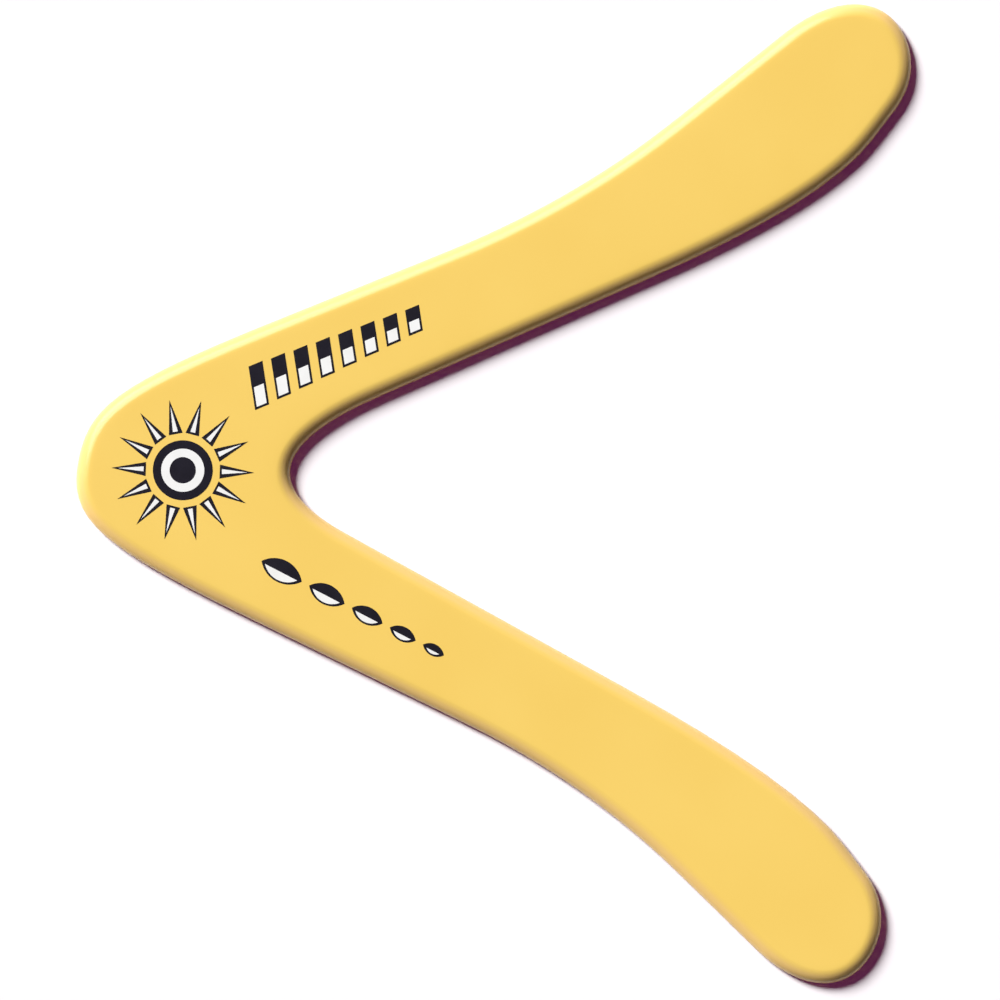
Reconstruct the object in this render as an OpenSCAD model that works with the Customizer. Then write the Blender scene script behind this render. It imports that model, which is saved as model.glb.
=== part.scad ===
// Returning boomerang with two arms, for a right-handed throw. It is sawn and shaped from
// cross-laid birch plywood, enamelled on top and screen printed.
// +X runs from the elbow to the tips, +Y along the lift arm, +Z up through the thickness.
// The origin lies under the middle of the blade, on the flat side that it rests on.
// The lift arm meets the air with its outer edge, the dingle arm with its inner edge.

/* [Board] */
// Thickness of the plywood sheet
board_t = 5; // [4:0.1:8]
// Number of veneers in the sheet
ply_count = 10; // [6:2:12]
// Thickness of one glue film after pressing
glue_t = 0.06; // [0.04:0.01:0.1]

/* [Finish] */
// Thickness of the enamel coat
coat_t = 0.15; // [0.1:0.01:0.3]
// Veneers at the underside whose edge stays bare
bare_plies = 2; // [1:1:3]
// Thickness of each screen-printed ink
print_t = 0.05; // [0.03:0.01:0.1]

/* [Elbow] */
// Angle from the centre line to the outer edge of either arm
outer_angle = 23.9; // [20:0.1:25]
// Reach from the corner of the outer edges to the cut across the nose
nose_cut = 54; // [45:0.5:65]
// Lean of that cut, its dingle side forward
nose_lean = 10.5; // [5:0.5:15]
// Length of outer edge that the round nose takes up on each arm
nose_run = 72; // [60:1:85]
// Reach from the corner of the outer edges to the corner of the inner edges
elbow_reach = 105.6; // [88:0.1:127]
// How far the inner corner stands off the centre line, towards the lift arm
elbow_shift = 2.3; // [0:0.1:4]

/* [Lift arm] */
// Length along the outer edge to the bend
lift_arm_l = 250; // [205:1:300]
// Length of the blade beyond the bend
lift_blade_l = 130; // [108:1:156]
// Angle from the centre line to the blade's outer edge
lift_blade_angle = 40.5; // [36:0.1:46]
// Angle from the centre line to the arm's inner edge
lift_inner_angle = 25.6; // [24:0.1:28]
// Angle from the centre line to the edge that closes the blade's inner corner
lift_inner_blade_angle = 54.7; // [50:0.1:60]
// Width of the cut across the tip
lift_tip_w = 41; // [34:0.5:50]
// Angle from the centre line down to that cut
lift_tip_angle = 49; // [42:0.1:56]
// Length of inner edge that the elbow's curve takes up
lift_elbow_run = 62; // [52:1:74]

/* [Dingle arm] */
// Length along the outer edge to the bend
dingle_arm_l = 262.5; // [218:0.5:316]
// Length of the blade beyond the bend
dingle_blade_l = 119.5; // [99:0.5:144]
// Angle from the centre line to the blade's outer edge
dingle_blade_angle = 42.5; // [38:0.1:46]
// Angle from the centre line to the arm's inner edge
dingle_inner_angle = 26.9; // [25:0.1:29]
// Angle from the centre line to the edge that closes the blade's inner corner
dingle_inner_blade_angle = 50.7; // [46:0.1:56]
// Width of the cut across the tip
dingle_tip_w = 44; // [36:0.5:53]
// Angle from the centre line down to that cut
dingle_tip_angle = 53; // [46:0.1:60]
// Length of inner edge that the elbow's curve takes up
dingle_elbow_run = 51; // [42:1:62]

/* [Airfoil] */
// Width of the rounding along a leading edge
lead_w = 5; // [4:0.1:6.4]
// Width of the rounding along a trailing edge
trail_w = 5.6; // [4.4:0.1:7]
// Height of the upright rim along a leading edge
lead_rim_t = 1.6; // [1.3:0.1:2]
// Height of the upright rim along a trailing edge
trail_rim_t = 1.2; // [1.1:0.1:1.5]

/* [Print] */
// Plain border left round the sun, on the flat of the elbow
sun_margin = 7; // [5:0.5:10]
// Number of long rays
ray_count = 14; // [8:1:18]
// Number of slanted bars on the lift arm
bar_count = 8; // [5:1:9]
// Number of leaves on the dingle arm
leaf_count = 5; // [3:1:6]

/* [Hidden] */
// The board's layers
veneer_t = (board_t - (ply_count - 1) * glue_t) / ply_count;
ply_pitch = veneer_t + glue_t;

function ply_z(k) = (k - 1) * ply_pitch;
function two_digits(k) = str(k < 10 ? "0" : "", k);
// A ten-ply sheet alternates from both faces and has two like veneers in its middle.
function runs_long(k) = min(k, ply_count + 1 - k) % 2 == 1;
function ply_role(k) = k == 1 ? "back" : k == ply_count ? "face" : runs_long(k) ? "long" : "cross";
function ply_name(k) = str("ply_", two_digits(k), "_", ply_role(k));
function glue_name(k) = str("glue_", two_digits(k));

// How the curves of the outline are rounded. A fullness of 2/3 makes a blend a parabola.
bend_run_arm = 49;
bend_run_blade = 46.5;
bend_full = 2 / 3;
inner_bend_run_arm = 70;
inner_bend_run_blade = 27.5;
tip_run = 33.5;
inner_tip_run = 20.5;
tip_full = 0.6;
crown_share = 0.54;
nose_full = 0.84;
nose_share = 0.54;
elbow_full = 0.68;

// Straight pieces in each curve
tip_steps = 12;
bend_steps = 8;
nose_steps = 15;
crown_steps = 3;

function unit(a) = [cos(a), sin(a)];
function toward(a, b) = (b - a) / norm(b - a);
function cross_2d(a, b) = a[0] * b[1] - a[1] * b[0];
function flip(points, side) = [for (p = points) [p[0], side * p[1]]];

// Where the line through p at angle a meets the line through q at angle b
function meet(p, a, q, b) = p + unit(a) * cross_2d(q - p, unit(b)) / cross_2d(unit(a), unit(b));

// A smooth turn round a corner, on the way from one neighbour to the next
function blend(from, corner, to, run_in, run_out, full, steps) =
    let (
        start = corner + run_in * toward(corner, from),
        end = corner + run_out * toward(corner, to),
        pull_in = start + full * (corner - start),
        pull_out = end + full * (corner - end)
    )
    [for (i = [0:steps])
        let (t = i / steps, u = 1 - t)
        u * u * u * start + 3 * t * u * u * pull_in + 3 * t * t * u * pull_out + t * t * t * end];

// The layout is measured from the corner where the two outer edges would meet.
elbow_corner = [elbow_reach, elbow_shift];
function nose_corner(side) = meet([nose_cut, 0], 90 - nose_lean, [0, 0], side * outer_angle);
nose_corners = [nose_corner(1), nose_corner(-1)];
nose_w = norm(nose_corners[0] - nose_corners[1]);
nose_meet = nose_corners[1] + nose_share * (nose_corners[0] - nose_corners[1]);
tiny = 1e-6;

// One arm's corners: nose, outer bend, outer tip, inner tip, inner bend
function arm_corners(side, arm_l, blade_l, blade_angle, tip_w, tip_angle, inner_angle, inner_blade) =
    let (
        outer_bend = arm_l * unit(outer_angle),
        outer_tip = outer_bend + blade_l * unit(blade_angle),
        inner_tip = outer_tip + tip_w * unit(-tip_angle),
        elbow = [elbow_corner[0], side * elbow_corner[1]],
        inner_bend = meet(inner_tip, inner_blade, elbow, inner_angle)
    )
    concat([nose_corner(side)], flip([outer_bend, outer_tip, inner_tip, inner_bend], side));

lift = arm_corners(1, lift_arm_l, lift_blade_l, lift_blade_angle, lift_tip_w, lift_tip_angle,
                   lift_inner_angle, lift_inner_blade_angle);
dingle = arm_corners(-1, dingle_arm_l, dingle_blade_l, dingle_blade_angle, dingle_tip_w,
                     dingle_tip_angle, dingle_inner_angle, dingle_inner_blade_angle);

// A run along the edge from a to b, shortened where it and the edge's other run would not leave
// a straight stretch between them
least_straight = 4;
function held(run, other, a, b) = run * min(1, (norm(b - a) - least_straight) / (run + other));
function reversed(list) = [for (i = [len(list) - 1:-1:0]) list[i]];

// An arm's outer edge from the middle of its tip to its root, and its inner edge likewise
function outer_edge(arm) =
    let (
        tip_w = norm(arm[3] - arm[2]),
        at_tip = held(tip_run, bend_run_blade, arm[2], arm[1]),
        at_bend = held(bend_run_blade, tip_run, arm[2], arm[1]),
        to_arm = held(bend_run_arm, nose_run, arm[1], arm[0])
    )
    concat(
        blend(arm[3], arm[2], arm[1], crown_share * tip_w, at_tip, tip_full, tip_steps),
        blend(arm[2], arm[1], arm[0], at_bend, to_arm, bend_full, bend_steps));
function inner_edge(arm, elbow_run) =
    let (
        tip_w = norm(arm[3] - arm[2]),
        at_tip = held(inner_tip_run, inner_bend_run_blade, arm[3], arm[4]),
        at_bend = held(inner_bend_run_blade, inner_tip_run, arm[3], arm[4]),
        to_arm = held(inner_bend_run_arm, elbow_run, arm[4], elbow_corner)
    )
    concat(
        blend(arm[2], arm[3], arm[4], (1 - crown_share) * tip_w, at_tip, tip_full, tip_steps),
        blend(arm[3], arm[4], elbow_corner, at_bend, to_arm, bend_full, bend_steps));

// The round nose, one corner at a time, and the curve inside the elbow
function nose_half(arm, other, share) =
    let (along = held(nose_run, bend_run_arm, arm[0], arm[1]))
    blend(arm[1], arm[0], other[0], along, share * nose_w, nose_full, nose_steps);
nose = concat(
    nose_half(lift, dingle, 1 - nose_share),
    [for (p = reversed(nose_half(dingle, lift, nose_share))) if (norm(p - nose_meet) > tiny) p]);
elbow = blend(lift[4], elbow_corner, dingle[4],
              held(lift_elbow_run, inner_bend_run_arm, elbow_corner, lift[4]),
              held(dingle_elbow_run, inner_bend_run_arm, elbow_corner, dingle[4]),
              elbow_full, 2 * nose_steps);

// Both edges run from the lift arm's tip to the dingle arm's, station by station alike.
outer_layout = concat(outer_edge(lift), nose, reversed(outer_edge(dingle)));
inner_layout = concat(inner_edge(lift, lift_elbow_run), elbow,
                      reversed(inner_edge(dingle, dingle_elbow_run)));
stations = len(outer_layout);
layout = concat(outer_layout, [for (i = [stations - 2:-1:1]) inner_layout[i]]);
count = len(layout);

function spread(points, k) = [for (p = points) p[k]];
function middle(list) = (min(list) + max(list)) / 2;
centre = [middle(spread(layout, 0)), middle(spread(layout, 1))];
outline = [for (p = layout) p - centre];
nose_x = min(spread(outline, 0));
elbow_x = min(spread(elbow, 0)) - centre[0];

function neighbour(i, step) = outline[(i + step + count) % count];
function outward(i) =
    let (t = toward([0, 0], toward(neighbour(i, -1), outline[i]) + toward(outline[i], neighbour(i, 1))))
    [t[1], -t[0]];
normals = [for (i = [0:count - 1]) outward(i)];

// An edge leads where it faces the way its arm travels as the blade spins, and trails where
// it faces back. The two arms' shares fade into each other across the elbow.
lift_travel = unit((outer_angle + lift_blade_angle) / 2 + 90);
dingle_travel = unit(90 - (outer_angle + dingle_blade_angle) / 2);
elbow_fade = 40;
function fade(t) = let (u = max(0, min(1, t))) u * u * (3 - 2 * u);
function lead_share(i) =
    let (on_lift = fade((outline[i][1] + elbow_fade) / (2 * elbow_fade)))
    (1 + on_lift * (normals[i] * lift_travel) + (1 - on_lift) * (normals[i] * dingle_travel)) / 2;
shares = [for (i = [0:count - 1]) lead_share(i)];
function edge_w(i) = trail_w + (lead_w - trail_w) * shares[i];
function rim_t(i) = trail_rim_t + (lead_rim_t - trail_rim_t) * shares[i];

// The rounding is a quarter of an ellipse, from upright at the rim to level on top.
function climb(i, z) = max(0, min(1, (z - rim_t(i)) / (board_t - rim_t(i))));
function inset(i, z) = edge_w(i) * (1 - sqrt(1 - climb(i, z) * climb(i, z)));
function wood_point(i, z) =
    let (p = outline[i] - inset(i, z) * normals[i])
    [p[0], p[1], z];

// The shaped wall is straight from the foot of one veneer to the foot of the next, past the
// glue between them. Only the face veneer has more levels of its own.
function wall_point(i, z) =
    let (k = 1 + floor((z + tiny) / ply_pitch), low = ply_z(k), high = ply_z(k + 1))
    k >= ply_count ? wood_point(i, z)
    : wood_point(i, low) + (z - low) / (high - low) * (wood_point(i, high) - wood_point(i, low));
function coat_point(i, z) =
    let (
        c = climb(i, z),
        out = sqrt(1 - c * c) / edge_w(i),
        up = c / (board_t - rim_t(i)),
        n = [out, up] / norm([out, up]),
        p = outline[i] + (coat_t * n[0] - inset(i, z)) * normals[i]
    )
    [p[0], p[1], z + coat_t * n[1]];

// Faces between rings of points: a ring's points start at index a, the next ring's at b.
function on_inner(i) = (count - i) % count;
function is_proper(f) = f[0] != f[1] && f[1] != f[2] && f[2] != f[0];
function turned(faces) = [for (f = faces) [f[2], f[1], f[0]]];
function cap(a) =
    let (f = [for (i = [0:stations - 2])
        each [[i, on_inner(i), on_inner(i + 1)], [i, on_inner(i + 1), i + 1]]])
    [for (t = f) if (is_proper(t)) [a + t[0], a + t[1], a + t[2]]];
function wall(a, b) =
    [for (i = [0:count - 1])
        let (j = (i + 1) % count)
        each [[a + i, b + i, b + j], [a + i, b + j, a + j]]];
function walls(a, rings) = [for (r = [0:rings - 2]) each wall(a + r * count, a + (r + 1) * count)];

// The levels of one veneer, with more of them where the face veneer rounds over
function ply_levels(k) =
    let (steps = k == ply_count ? crown_steps : 1)
    [for (s = [0:steps]) ply_z(k) + veneer_t * (1 - pow(1 - s / steps, 2))];

// A slice of the shaped board. Below the rims it is a plain upright plate.
module slice(levels) {
    low = levels[0];
    high = levels[len(levels) - 1];
    if (high <= min(lead_rim_t, trail_rim_t)) {
        translate([0, 0, low]) linear_extrude(high - low) polygon(outline);
    } else {
        polyhedron(
            points = [for (z = levels) each [for (i = [0:count - 1]) wall_point(i, z)]],
            faces = concat(turned(cap(0)), walls(0, len(levels)), cap((len(levels) - 1) * count)));
    }
}

module veneer(k) {
    color(runs_long(k) ? "burlywood" : "tan") slice(ply_levels(k));
}

module glue_film(k) {
    color("saddlebrown") slice([ply_z(k) + veneer_t, ply_z(k + 1)]);
}

// The enamel covers the top and the shaped edges, down to the lowest veneers.
module top_enamel() {
    levels = concat([for (k = [bare_plies + 1:ply_count - 1]) ply_z(k)], ply_levels(ply_count));
    rings = len(levels);
    inside = rings * count;
    color("#FCD26C") polyhedron(
        points = concat(
            [for (z = levels) each [for (i = [0:count - 1]) coat_point(i, z)]],
            [for (z = levels) each [for (i = [0:count - 1]) wood_point(i, z)]]),
        faces = concat(
            walls(0, rings), cap((rings - 1) * count),
            turned(walls(inside, rings)), turned(cap(inside + (rings - 1) * count)),
            wall(inside, 0)));
}

// The print: a sun at the elbow, slanted bars on the lift arm, leaves on the dingle arm.
black_z = board_t + coat_t;
white_z = black_z + print_t;
print_gap = 0.8;
sun_place = [(nose_x + elbow_x) / 2, -centre[1]];
sun_r = (elbow_x - nose_x) / 2 - trail_w - sun_margin;
core_r = 0.42 * sun_r;
ray_root_r = core_r + 2.5;
ray_w = 0.84 * 2 * PI * ray_root_r / ray_count;
ring_out_r = 0.72 * core_r;
ring_in_r = 0.44 * core_r;
ring_sides = 72;
ray_white_w = 0.36 * ray_w;
bar_start = 72;
bar_pitch = 8.6;
bar_w = 5.4;
bar_share = 0.52;
bar_taper = 0.053;
bar_slant = 0.25;
leaf_start = 84;
leaf_share = 0.5;
leaf_taper = 0.12;
leaf_gap = 3;
leaf_bulge = 0.62;

// An arm's middle line: its direction, a place on it, and how wide the flat top is there
function arm_angle(side, inner_angle) = side * (outer_angle + inner_angle) / 2;
function arm_place(side, inner_angle, distance) =
    elbow_corner / 2 + distance * unit(arm_angle(side, inner_angle));
function flat_w(side, inner_angle, distance) =
    let (p = arm_place(side, inner_angle, distance))
    abs(cross_2d(p, unit(side * outer_angle)))
        + abs(cross_2d(p - elbow_corner, unit(side * inner_angle))) - lead_w - trail_w;

// Places children on an arm's middle line, a distance from the elbow, X along the arm
module on_arm(side, inner_angle, distance) {
    translate(arm_place(side, inner_angle, distance) - centre)
        rotate(arm_angle(side, inner_angle)) children();
}

module place_sun() translate(sun_place) children();

module each_ray() for (i = [0:ray_count - 1]) rotate(360 * i / ray_count) children();

module ray(root_r, tip_r, w) polygon([[root_r, -w / 2], [tip_r, 0], [root_r, w / 2]]);

module bar(height, share, margin) {
    low = margin - height / 2;
    high = low + share * height - margin;
    half_w = bar_w / 2 - margin;
    polygon([for (p = [[-half_w, low], [half_w, low], [half_w, high], [-half_w, high]])
        [p[0] + bar_slant * p[1], p[1]]]);
}

module each_bar() {
    for (i = [0:bar_count - 1]) {
        distance = bar_start + i * bar_pitch;
        on_arm(1, lift_inner_angle, distance) {
            $height = bar_share * flat_w(1, lift_inner_angle, distance) * (1 - i * bar_taper);
            children();
        }
    }
}

leaf_l = leaf_share * flat_w(-1, dingle_inner_angle, leaf_start);
function leaf_length(i) = leaf_l * (1 - i * leaf_taper);
function leaf_place(i) = i == 0 ? leaf_start
    : leaf_place(i - 1) + (leaf_length(i - 1) + leaf_length(i)) / 2 + leaf_gap;

module leaf(l) {
    r = leaf_bulge * l;
    off = sqrt(r * r - l * l / 4);
    intersection() {
        translate([0, off]) circle(r, $fn = ring_sides);
        translate([0, -off]) circle(r, $fn = ring_sides);
    }
}

// The lower half of a leaf, a margin inside it all round
module half_leaf(l, margin) {
    intersection() {
        leaf(l - 2 * margin / leaf_bulge);
        translate([-l / 2, -l]) square([l, l - margin / 2]);
    }
}

module each_leaf() {
    for (i = [0:leaf_count - 1]) {
        on_arm(-1, dingle_inner_angle, leaf_place(i)) {
            $length = leaf_length(i);
            children();
        }
    }
}

module print_black() {
    color("#1B1A20") translate([0, 0, black_z]) linear_extrude(print_t) {
        place_sun() {
            circle(core_r, $fn = ring_sides);
            each_ray() ray(ray_root_r, sun_r, ray_w);
        }
        each_bar() bar($height, 1, 0);
        each_leaf() leaf($length);
    }
}

module print_white() {
    color("#FDFDFB") translate([0, 0, white_z]) linear_extrude(print_t) {
        place_sun() {
            difference() {
                circle(ring_out_r, $fn = ring_sides);
                circle(ring_in_r, $fn = ring_sides);
            }
            each_ray() ray(ray_root_r + print_gap, sun_r - 3 * print_gap, ray_white_w);
        }
        each_bar() bar($height, 0.5, print_gap);
        each_leaf() half_leaf($length, print_gap);
    }
}

for (k = [1:ply_count]) veneer(k);
for (k = [1:ply_count - 1]) glue_film(k);
top_enamel();
print_black();
print_white();
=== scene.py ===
"""Looks for a two-arm returning boomerang, shaped from birch plywood and enamelled on top.

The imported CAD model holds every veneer, glue film, coat and print at its place. This script
dresses those pieces, and swaps the faceted enamel coat for a smooth one. Lengths are in metres,
with +X from the elbow to the tips, +Y along the lift arm and +Z up out of the rounded top.
"""

import logging
import math
from dataclasses import dataclass, field
from enum import Enum
from typing import Any

import bpy
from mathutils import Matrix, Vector


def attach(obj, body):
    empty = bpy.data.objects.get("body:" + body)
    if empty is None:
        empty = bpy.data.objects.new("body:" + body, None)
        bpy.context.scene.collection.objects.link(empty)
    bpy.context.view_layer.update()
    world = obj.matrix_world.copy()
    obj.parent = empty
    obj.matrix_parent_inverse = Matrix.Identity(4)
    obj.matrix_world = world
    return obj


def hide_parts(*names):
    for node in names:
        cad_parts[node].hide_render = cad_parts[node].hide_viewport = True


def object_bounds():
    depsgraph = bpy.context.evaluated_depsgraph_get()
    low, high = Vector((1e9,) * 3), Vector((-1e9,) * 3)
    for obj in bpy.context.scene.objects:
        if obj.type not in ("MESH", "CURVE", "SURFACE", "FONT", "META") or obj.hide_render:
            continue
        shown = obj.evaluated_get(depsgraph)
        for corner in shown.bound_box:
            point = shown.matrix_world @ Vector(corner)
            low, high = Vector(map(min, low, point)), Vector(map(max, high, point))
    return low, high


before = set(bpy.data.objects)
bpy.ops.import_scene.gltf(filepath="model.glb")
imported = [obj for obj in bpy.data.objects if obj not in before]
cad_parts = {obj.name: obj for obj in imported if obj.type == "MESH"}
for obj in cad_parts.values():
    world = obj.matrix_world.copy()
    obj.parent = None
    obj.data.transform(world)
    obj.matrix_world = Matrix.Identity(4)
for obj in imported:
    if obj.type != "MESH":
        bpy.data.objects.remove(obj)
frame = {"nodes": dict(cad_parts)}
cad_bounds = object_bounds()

MM = 0.001
BYTE_MAX = 255
SRGB_SLOPE, SRGB_KNEE, SRGB_LIFT, SRGB_GAMMA = 12.92, 0.04045, 0.055, 2.4
# The Mix node's sockets when it mixes colours
MIX_SHARE, MIX_FIRST, MIX_SECOND, MIX_RESULT = 0, 6, 7, 2

log = logging.getLogger("boomerang")


class Grain(Enum):
    """Which way a veneer's fibres run in the board."""

    LONG = (1.0, 0.0, 0.0)
    CROSS = (0.0, 1.0, 0.0)


def linear(colour: str) -> tuple[float, float, float, float]:
    """Turns an sRGB hex colour into linear RGBA.

    Args:
        colour: the colour, such as "#FCD26C".

    Returns:
        Red, green, blue and an alpha of 1, as the shaders take them.
    """
    channels = [c / BYTE_MAX for c in bytes.fromhex(colour[1:])]
    red, green, blue = [
        c / SRGB_SLOPE if c <= SRGB_KNEE else ((c + SRGB_LIFT) / (1 + SRGB_LIFT)) ** SRGB_GAMMA
        for c in channels]
    return (red, green, blue, 1.0)


def per_metre(size_mm: float) -> float:
    """Gives the pattern scale at which one feature measures size_mm millimetres."""
    return 1.0 / (size_mm * MM)


def add_node(tree: bpy.types.NodeTree, kind: str, inputs: dict[Any, Any] | None = None,
             **settings: Any) -> bpy.types.Node:
    """Adds one node, with its settings, its values and the links that come into it.

    Args:
        tree: the node tree of a material or the world.
        kind: the node's type, such as "ShaderNodeTexNoise".
        inputs: each input's name or number, with its value or the output socket to link.
        **settings: the node's own properties, such as operation="MULTIPLY".

    Returns:
        The new node.
    """
    node = tree.nodes.new(kind)
    for name, value in settings.items():
        setattr(node, name, value)
    for name, value in (inputs or {}).items():
        if isinstance(value, bpy.types.NodeSocket):
            tree.links.new(value, node.inputs[name])
        else:
            node.inputs[name].default_value = value
    return node


def add_ramp(tree: bpy.types.NodeTree, factor: bpy.types.NodeSocket,
             span: tuple[float, float], colours: list[str]) -> bpy.types.NodeSocket:
    """Adds a colour ramp with evenly placed stops, and gives its colour output.

    Args:
        tree: the material's node tree.
        factor: the output that drives the ramp.
        span: the places, from 0 to 1, of the first and the last colour.
        colours: each stop's sRGB hex colour, in order.

    Returns:
        The ramp's colour socket.
    """
    ramp = add_node(tree, "ShaderNodeValToRGB", {"Fac": factor})
    elements = ramp.color_ramp.elements
    while len(elements) < len(colours):
        elements.new(span[0])
    step = (span[1] - span[0]) / (len(colours) - 1)
    for i, (element, colour) in enumerate(zip(elements, colours)):
        element.position = span[0] + i * step
        element.color = linear(colour)
    return ramp.outputs["Color"]


def own_place(tree: bpy.types.NodeTree) -> bpy.types.NodeSocket:
    """Gives the piece's own coordinates, in metres."""
    return add_node(tree, "ShaderNodeTexCoord").outputs["Object"]


def own_normal(tree: bpy.types.NodeTree) -> bpy.types.NodeSocket:
    """Gives the way the surface faces, in the piece's own axes."""
    return add_node(tree, "ShaderNodeTexCoord").outputs["Normal"]


def new_material(name: str) -> tuple[bpy.types.Material, bpy.types.NodeTree]:
    """Starts an empty node material.

    Args:
        name: the finish's own name.

    Returns:
        The material and its node tree.
    """
    material = bpy.data.materials.new(name)
    material.use_nodes = True
    material.node_tree.nodes.clear()
    return material, material.node_tree


def close_material(tree: bpy.types.NodeTree, inputs: dict[str, Any]) -> None:
    """Ends a material in a Principled shader.

    Args:
        tree: the material's node tree.
        inputs: the shader's values and links.
    """
    shader = add_node(tree, "ShaderNodeBsdfPrincipled", inputs)
    add_node(tree, "ShaderNodeOutputMaterial", {"Surface": shader.outputs["BSDF"]})


def dress(piece: bpy.types.Object, material: bpy.types.Material) -> None:
    """Puts one material on a piece in place of all it has."""
    piece.data.materials.clear()
    piece.data.materials.append(material)


def only_select(piece: bpy.types.Object) -> None:
    """Deselects everything, then selects one piece and makes it active."""
    bpy.ops.object.select_all(action="DESELECT")
    piece.select_set(True)
    bpy.context.view_layer.objects.active = piece


@dataclass(frozen=True)
class BirchVeneer:
    """Rotary-cut birch under satin lacquer: pale, with faint figure and fine vessel streaks.

    Where an edge cuts across the fibres, the end grain drinks lacquer and turns darker. Every other
    side of the board is also turned toward that brown by its tilt alone, as painted shade. Vessels
    and pores are about 0.1 mm wide in the wood, too fine to show, so they are drawn coarser.
    """

    grain: Grain
    pale: str = "#EFD9B4"
    middle: str = "#E3C597"
    deep: str = "#CFA873"
    tone_span: tuple[float, float] = (0.34, 0.66)
    end_grain_and_shade_brown: str = "#7E5430"
    painted_shade_share: float = 0.6
    painted_shade_cosine: float = 0.5
    figure_mm: float = 7.0
    figure_length: float = 14.0
    figure_detail: float = 4.0
    figure_roughness: float = 0.55
    figure_sway: float = 0.6
    figure_share: float = 0.62
    vessel_mm: float = 0.45
    vessel_length: float = 26.0
    vessel_detail: float = 2.0
    vessel_roughness: float = 0.6
    vessel_strength: float = 0.35
    vessel_depth: float = 0.02 * MM
    pore_mm: float = 0.35
    pore_detail: float = 1.0
    pore_contrast: float = 0.7
    pore_floor: float = 0.6
    roughness: float = 0.38
    roughness_swing: float = 0.16
    ior: float = 1.5
    lacquer: float = 0.35
    lacquer_roughness: float = 0.3

    def stretched(self, tree: bpy.types.NodeTree, length: float) -> bpy.types.NodeSocket:
        """Gives object coordinates drawn out along the fibres.

        Args:
            tree: the material's node tree.
            length: how many times longer than wide a feature is.

        Returns:
            The coordinates to feed a texture.
        """
        scale = [1 - axis * (1 - 1 / length) for axis in self.grain.value]
        mapping = add_node(tree, "ShaderNodeMapping", {"Vector": own_place(tree), "Scale": scale})
        return mapping.outputs["Vector"]

    def end_grain_and_shade(self, tree: bpy.types.NodeTree) -> bpy.types.NodeSocket:
        """Gives the share of dark brown: none on a face, painted shade on every side, most across
        the fibres.

        Args:
            tree: the material's node tree.

        Returns:
            The share of end-grain brown and painted shade, from 0 to 1.
        """
        normal = own_normal(tree)
        facing = add_node(tree, "ShaderNodeVectorMath", {
            0: normal, 1: self.grain.value}, operation="DOT_PRODUCT").outputs["Value"]
        across = add_node(tree, "ShaderNodeMath", {0: facing, 1: facing}, operation="MULTIPLY")
        upward = add_node(tree, "ShaderNodeSeparateXYZ", {"Vector": normal}).outputs["Z"]
        level = add_node(tree, "ShaderNodeMath", {0: upward}, operation="ABSOLUTE")
        # Painted shade: every side face is turned toward the brown by its tilt alone.
        painted_shade_on_sides = add_node(tree, "ShaderNodeMapRange", {
            "Value": level.outputs[0], "From Min": 1.0, "From Max": self.painted_shade_cosine,
            "To Max": self.painted_shade_share})
        both = add_node(tree, "ShaderNodeMath", {
            0: across.outputs[0], 1: 1 - self.painted_shade_share, 2: painted_shade_on_sides.outputs["Result"]},
            operation="MULTIPLY_ADD")
        pores = add_node(tree, "ShaderNodeTexNoise", {
            "Vector": own_place(tree), "Scale": per_metre(self.pore_mm),
            "Detail": self.pore_detail})
        speckle = add_node(tree, "ShaderNodeMath", {
            0: pores.outputs["Fac"], 1: self.pore_contrast, 2: self.pore_floor},
            operation="MULTIPLY_ADD")
        return add_node(tree, "ShaderNodeMath", {
            0: both.outputs[0], 1: speckle.outputs[0]},
            operation="MULTIPLY", use_clamp=True).outputs[0]

    def build(self) -> bpy.types.Material:
        """Makes the material."""
        # Satin birch: soft straight streaks in the light wood, and a brown, speckled edge, end
        # grain across the fibres and painted shade on every side.
        material, tree = new_material(f"birch_veneer_{self.grain.name.lower()}")
        figure = add_node(tree, "ShaderNodeTexNoise", {
            "Vector": self.stretched(tree, self.figure_length),
            "Scale": per_metre(self.figure_mm), "Detail": self.figure_detail,
            "Roughness": self.figure_roughness, "Distortion": self.figure_sway})
        vessels = add_node(tree, "ShaderNodeTexNoise", {
            "Vector": self.stretched(tree, self.vessel_length),
            "Scale": per_metre(self.vessel_mm), "Detail": self.vessel_detail,
            "Roughness": self.vessel_roughness})
        streaks = add_node(tree, "ShaderNodeMath", {
            0: vessels.outputs["Fac"], 1: 1 - self.figure_share}, operation="MULTIPLY")
        tone = add_node(tree, "ShaderNodeMath", {
            0: figure.outputs["Fac"], 1: self.figure_share, 2: streaks.outputs[0]},
            operation="MULTIPLY_ADD")
        face = add_ramp(tree, tone.outputs[0], self.tone_span,
                        [self.pale, self.middle, self.deep])
        colour = add_node(tree, "ShaderNodeMix", {
            MIX_SHARE: self.end_grain_and_shade(tree), MIX_FIRST: face,
            MIX_SECOND: linear(self.end_grain_and_shade_brown)}, data_type="RGBA")
        bump = add_node(tree, "ShaderNodeBump", {
            "Height": vessels.outputs["Fac"], "Strength": self.vessel_strength,
            "Distance": self.vessel_depth})
        roughness = add_node(tree, "ShaderNodeMath", {
            0: tone.outputs[0], 1: self.roughness_swing, 2: self.roughness},
            operation="MULTIPLY_ADD")
        close_material(tree, {
            "Base Color": colour.outputs[MIX_RESULT], "Roughness": roughness.outputs[0],
            "IOR": self.ior, "Normal": bump.outputs["Normal"], "Coat Weight": self.lacquer,
            "Coat Roughness": self.lacquer_roughness})
        return material


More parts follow.
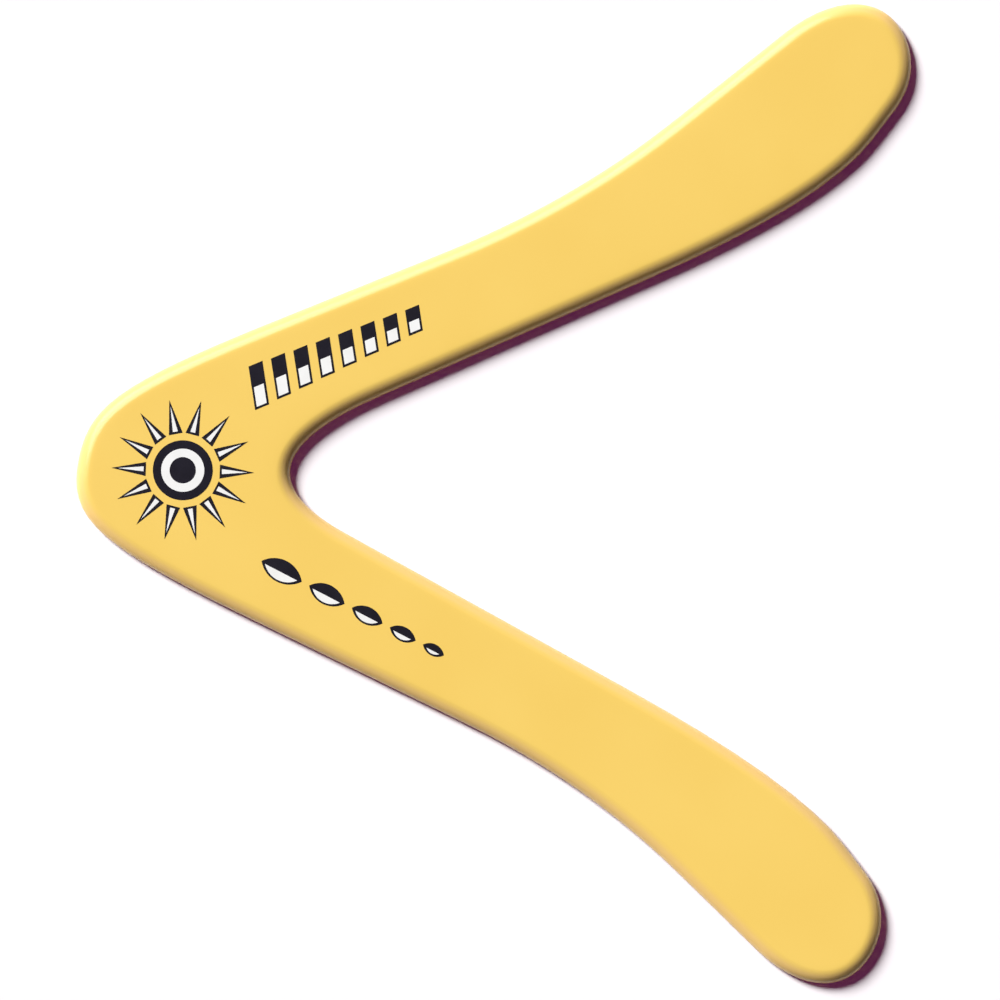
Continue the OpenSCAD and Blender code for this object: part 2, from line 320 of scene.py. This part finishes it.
@dataclass(frozen=True)
class PhenolicGlue:
    """Cured phenolic film: hair-thin dark brown lines between the veneers."""

    colour: str = "#4A2818"
    bright: str = "#6B4026"
    patch_span: tuple[float, float] = (0.35, 0.7)
    patch_mm: float = 3.0
    patch_detail: float = 3.0
    roughness: float = 0.5
    ior: float = 1.55

    def build(self) -> bpy.types.Material:
        """Makes the material."""
        # Hard resin: dark lines along the bare edge, browner where the film was pressed thin.
        material, tree = new_material("phenolic_glue_film")
        patches = add_node(tree, "ShaderNodeTexNoise", {
            "Vector": own_place(tree), "Scale": per_metre(self.patch_mm),
            "Detail": self.patch_detail})
        colour = add_ramp(tree, patches.outputs["Fac"], self.patch_span,
                          [self.colour, self.bright])
        close_material(tree, {"Base Color": colour, "Roughness": self.roughness, "IOR": self.ior})
        return material


@dataclass(frozen=True)
class GlossEnamel:
    """Sprayed gloss enamel: an even warm yellow with a clear skin and a faint orange peel.

    Where the blade rounds over, it is paled toward cream all round by the tilt, a painted
    highlight.
    """

    colour: str = "#F7D068"
    lighter: str = "#F9D36C"
    cloud_span: tuple[float, float] = (0.35, 0.65)
    cloud_mm: float = 45.0
    cloud_detail: float = 2.0
    painted_highlight_cream: str = "#F6CD7E"
    level_cosine: float = 0.995
    painted_highlight_cosine: float = 0.9
    peel_mm: float = 1.6
    peel_detail: float = 1.0
    peel_roughness: float = 0.4
    peel_strength: float = 0.25
    peel_depth: float = 0.01 * MM
    roughness: float = 0.3
    ior: float = 1.5
    gloss: float = 0.35
    gloss_roughness: float = 0.14
    shine: float = 0.3

    def build(self) -> bpy.types.Material:
        """Makes the material."""
        # Wet-looking paint: flat yellow on top, a cream painted highlight along the rounded rim,
        # with a soft light on it.
        material, tree = new_material("gloss_enamel_yellow")
        cloud = add_node(tree, "ShaderNodeTexNoise", {
            "Vector": own_place(tree), "Scale": per_metre(self.cloud_mm),
            "Detail": self.cloud_detail})
        full = add_ramp(tree, cloud.outputs["Fac"], self.cloud_span, [self.colour, self.lighter])
        upward = add_node(tree, "ShaderNodeSeparateXYZ", {"Vector": own_normal(tree)})
        # Painted highlight: the steeper the rounding, the more cream is mixed in.
        painted_highlight_share = add_node(tree, "ShaderNodeMapRange", {
            "Value": upward.outputs["Z"], "From Min": self.level_cosine,
            "From Max": self.painted_highlight_cosine})
        colour = add_node(tree, "ShaderNodeMix", {
            MIX_SHARE: painted_highlight_share.outputs["Result"], MIX_FIRST: full,
            MIX_SECOND: linear(self.painted_highlight_cream)}, data_type="RGBA")
        peel = add_node(tree, "ShaderNodeTexNoise", {
            "Vector": own_place(tree), "Scale": per_metre(self.peel_mm),
            "Detail": self.peel_detail, "Roughness": self.peel_roughness})
        bump = add_node(tree, "ShaderNodeBump", {
            "Height": peel.outputs["Fac"], "Strength": self.peel_strength,
            "Distance": self.peel_depth})
        close_material(tree, {
            "Base Color": colour.outputs[MIX_RESULT], "Roughness": self.roughness, "IOR": self.ior,
            "Specular IOR Level": self.shine, "Normal": bump.outputs["Normal"],
            "Coat Weight": self.gloss, "Coat Roughness": self.gloss_roughness,
            "Coat Normal": bump.outputs["Normal"]})
        return material


@dataclass(frozen=True)
class ScreenInk:
    """Screen-printed ink: a dense semi-gloss film with the faint tooth of the mesh in it.

    The threads of a real mesh are 0.15 mm apart, too fine to show, so the tooth is coarser.
    """

    name: str
    colour: str
    thin: str
    cover_mm: float = 6.0
    cover_detail: float = 4.0
    cover_span: tuple[float, float] = (0.4, 0.75)
    mesh_mm: float = 0.5
    mesh_detail: float = 1.0
    mesh_strength: float = 0.2
    mesh_depth: float = 0.006 * MM
    roughness: float = 0.36
    shine: float = 0.3
    ior: float = 1.5
    gloss: float = 0.15
    gloss_roughness: float = 0.16

    def build(self) -> bpy.types.Material:
        """Makes the material."""
        # Dense ink: sharp shapes that stand a hair above the paint and shine a little less.
        material, tree = new_material(f"screen_ink_{self.name}")
        cover = add_node(tree, "ShaderNodeTexNoise", {
            "Vector": own_place(tree), "Scale": per_metre(self.cover_mm),
            "Detail": self.cover_detail})
        colour = add_ramp(tree, cover.outputs["Fac"], self.cover_span, [self.colour, self.thin])
        tooth = add_node(tree, "ShaderNodeTexNoise", {
            "Vector": own_place(tree), "Scale": per_metre(self.mesh_mm),
            "Detail": self.mesh_detail})
        bump = add_node(tree, "ShaderNodeBump", {
            "Height": tooth.outputs["Fac"], "Strength": self.mesh_strength,
            "Distance": self.mesh_depth})
        close_material(tree, {
            "Base Color": colour, "Roughness": self.roughness, "IOR": self.ior,
            "Specular IOR Level": self.shine, "Normal": bump.outputs["Normal"],
            "Coat Weight": self.gloss, "Coat Roughness": self.gloss_roughness})
        return material


@dataclass(frozen=True)
class PaperSweep:
    """A matt white studio paper that gives off a faint plum light of its own, painted light that
    turns its shadows plum.
    """

    colour: str = "#FAFBFA"
    painted_shadow_tint: str = "#470838"
    painted_shadow_tint_strength: float = 1.0
    roughness: float = 0.95
    shine: float = 0.1

    def build(self) -> bpy.types.Material:
        """Makes the material."""
        # Blank paper: its own faint plum light paints the shadows' tint, and it shows nothing else.
        material, tree = new_material("paper_sweep")
        close_material(tree, {"Base Color": linear(self.colour), "Roughness": self.roughness,
                              "Specular IOR Level": self.shine,
                              "Emission Color": linear(self.painted_shadow_tint),
                              "Emission Strength": self.painted_shadow_tint_strength})
        return material


@dataclass
class PlywoodBoard:
    """The ten cross-laid veneers and the nine glue films between them."""

    long_finish: BirchVeneer = field(default_factory=lambda: BirchVeneer(Grain.LONG))
    cross_finish: BirchVeneer = field(default_factory=lambda: BirchVeneer(Grain.CROSS))
    glue_finish: PhenolicGlue = field(default_factory=PhenolicGlue)

    def dress(self, nodes: dict[str, bpy.types.Object]) -> None:
        """Dresses every layer of the board.

        Args:
            nodes: the frame's CAD nodes by name.
        """
        along, across = self.long_finish.build(), self.cross_finish.build()
        glue = self.glue_finish.build()
        for name, node in sorted(nodes.items()):
            if name.startswith("ply_"):
                dress(node, across if name.endswith("_cross") else along)
                log.info("%s dressed as birch veneer", name)
            elif name.startswith("glue_"):
                dress(node, glue)
                log.info("%s dressed as glue film", name)


@dataclass
class EnamelCoat:
    """The enamel over the face and shaped edges, one smooth closed shell.

    It starts as a copy of the CAD coat, whose rings of points lie on the true airfoil, and is
    smoothed by subdivision, with its sharp edges creased.
    """

    node: str = "top_enamel"
    slot: str = "yellow_enamel"
    weld: float = 0.001 * MM
    levels: int = 2
    quad_deg: float = 40.0
    crease_deg: float = 60.0
    shade_deg: float = 40.0
    finish: GlossEnamel = field(default_factory=GlossEnamel)

    def build(self, nodes: dict[str, bpy.types.Object]) -> bpy.types.Object:
        """Makes and dresses the coat.

        Args:
            nodes: the frame's CAD nodes by name.

        Returns:
            The coat, riding on the board's body.
        """
        coat = bpy.data.objects.new("enamel_coat", nodes[self.node].data.copy())
        bpy.context.scene.collection.objects.link(coat)
        only_select(coat)
        bpy.ops.mesh.customdata_custom_splitnormals_clear()
        bpy.ops.object.mode_set(mode="EDIT")
        bpy.ops.mesh.select_all(action="SELECT")
        bpy.ops.mesh.remove_doubles(threshold=self.weld)
        bpy.ops.mesh.tris_convert_to_quads(face_threshold=math.radians(self.quad_deg),
                                           shape_threshold=math.radians(self.quad_deg))
        bpy.ops.mesh.select_all(action="DESELECT")
        bpy.ops.mesh.edges_select_sharp(sharpness=math.radians(self.crease_deg))
        bpy.ops.transform.edge_crease(value=1.0)
        bpy.ops.object.mode_set(mode="OBJECT")
        smoother = coat.modifiers.new("smooth_airfoil", "SUBSURF")
        smoother.levels = self.levels
        smoother.render_levels = self.levels
        bpy.ops.object.modifier_apply(modifier=smoother.name)
        bpy.ops.object.shade_smooth_by_angle(angle=math.radians(self.shade_deg))
        dress(coat, self.finish.build())
        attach(coat, "root")
        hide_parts(self.node)
        log.info("%s made with %d faces", coat.name, len(coat.data.polygons))
        return coat


@dataclass
class ScreenPrint:
    """The two printed inks on the flat of the enamel."""

    black: ScreenInk = ScreenInk("black", "#17161B", "#1E1D23")
    white: ScreenInk = ScreenInk("white", "#F6F6F4", "#EFEFEC")

    def dress(self, nodes: dict[str, bpy.types.Object]) -> None:
        """Dresses both prints.

        Args:
            nodes: the frame's CAD nodes by name.
        """
        for name, ink in (("print_black", self.black), ("print_white", self.white)):
            dress(nodes[name], ink.build())
            log.info("%s dressed as screen ink", name)


@dataclass
class Studio:
    """Pale floor, a key and a sheen light at the upper left, dim fill, and a camera overhead."""

    low: Vector
    high: Vector
    aim_mm: tuple[float, float] = (5.1, -6.5)
    view_w: float = 357.8 * MM
    roll_deg: float = 2.0
    lens_mm: float = 200.0
    floor_w: float = 14.0
    floor_gap: float = 0.02 * MM
    key_elevation_deg: float = 31.0
    key_bearing_deg: float = 135.0
    key_spread_deg: float = 20.0
    key_strength: float = 6.3
    sheen_elevation_deg: float = 50.0
    sheen_spread_deg: float = 44.0
    sheen_strength: float = 3.0
    sheen_tint: str = "#DCD2FF"
    fill: str = "#22191D"
    backdrop: str = "#F4F4F5"

    def middle(self) -> Vector:
        """Gives the point on top of the blade that the camera looks at."""
        centre = (self.low + self.high) / 2
        return Vector((centre.x + self.aim_mm[0] * MM, centre.y + self.aim_mm[1] * MM, self.high.z))

    def add_floor(self) -> None:
        """Lays the paper sweep just under the blade."""
        bpy.ops.object.select_all(action="DESELECT")
        bpy.ops.mesh.primitive_plane_add(size=self.floor_w,
                                         location=(0, 0, self.low.z - self.floor_gap))
        floor = bpy.context.object
        floor.name = "paper_floor"
        dress(floor, PaperSweep().build())

    def add_softbox(self, name: str, elevation_deg: float, spread_deg: float,
                    strength: float) -> bpy.types.Object:
        """Hangs a soft light at the upper left, far enough off to light the blade evenly.

        Args:
            name: the light's name.
            elevation_deg: how high it stands above the floor.
            spread_deg: how wide it looks from the blade.
            strength: the light that it gives, in watts per square metre.

        Returns:
            The light's object.
        """
        bearing = math.radians(self.key_bearing_deg + self.roll_deg)
        height = math.radians(elevation_deg)
        toward = Vector((math.cos(bearing) * math.cos(height),
                         math.sin(bearing) * math.cos(height), math.sin(height)))
        data = bpy.data.lights.new(name, "SUN")
        data.angle = math.radians(spread_deg)
        data.energy = strength
        light = bpy.data.objects.new(name, data)
        light.location = self.middle() + toward
        light.rotation_euler = (-toward).to_track_quat("-Z", "Y").to_euler()
        bpy.context.scene.collection.objects.link(light)
        return light

    def add_lights(self) -> None:
        """Hangs the key light, and a wide sheen light that only glossy skins mirror."""
        key = self.add_softbox("key_softbox", self.key_elevation_deg, self.key_spread_deg,
                               self.key_strength)
        key.visible_glossy = False
        sheen = self.add_softbox("sheen_softbox", self.sheen_elevation_deg,
                                 self.sheen_spread_deg, self.sheen_strength)
        sheen.visible_diffuse = False
        sheen.data.color = linear(self.sheen_tint)[:3]

    def add_world(self) -> None:
        """Fills the shadows dimly, and stands a pale backdrop behind the floor."""
        world = bpy.data.worlds.new("studio")
        world.use_nodes = True
        tree = world.node_tree
        tree.nodes.clear()
        seen = add_node(tree, "ShaderNodeLightPath").outputs["Is Camera Ray"]
        fill = add_node(tree, "ShaderNodeBackground", {"Color": linear(self.fill)})
        back = add_node(tree, "ShaderNodeBackground", {"Color": linear(self.backdrop)})
        both = add_node(tree, "ShaderNodeMixShader", {
            "Fac": seen, 1: fill.outputs[0], 2: back.outputs[0]})
        add_node(tree, "ShaderNodeOutputWorld", {"Surface": both.outputs[0]})
        bpy.context.scene.world = world

    def add_camera(self) -> None:
        """Sets the camera straight overhead, with a long lens."""
        data = bpy.data.cameras.new("overhead")
        data.lens = self.lens_mm
        camera = bpy.data.objects.new("overhead", data)
        distance = self.view_w * data.lens / data.sensor_width
        camera.location = self.middle() + Vector((0, 0, distance))
        camera.rotation_euler = (0, 0, math.radians(self.roll_deg))
        bpy.context.scene.collection.objects.link(camera)
        bpy.context.scene.camera = camera

    def build(self) -> None:
        """Sets up the whole studio."""
        self.add_camera()
        self.add_floor()
        self.add_lights()
        self.add_world()
        bpy.context.scene.view_settings.view_transform = "Standard"
        log.info("studio ready")


def main() -> None:
    """Builds the studio, then each sub-assembly in the order it is made."""
    logging.basicConfig(level=logging.INFO, format="%(name)s: %(message)s")
    low, high = cad_bounds
    nodes = frame["nodes"]
    Studio(low, high).build()
    PlywoodBoard().dress(nodes)
    EnamelCoat().build(nodes)
    ScreenPrint().dress(nodes)


if __name__ == "__main__":
    main()
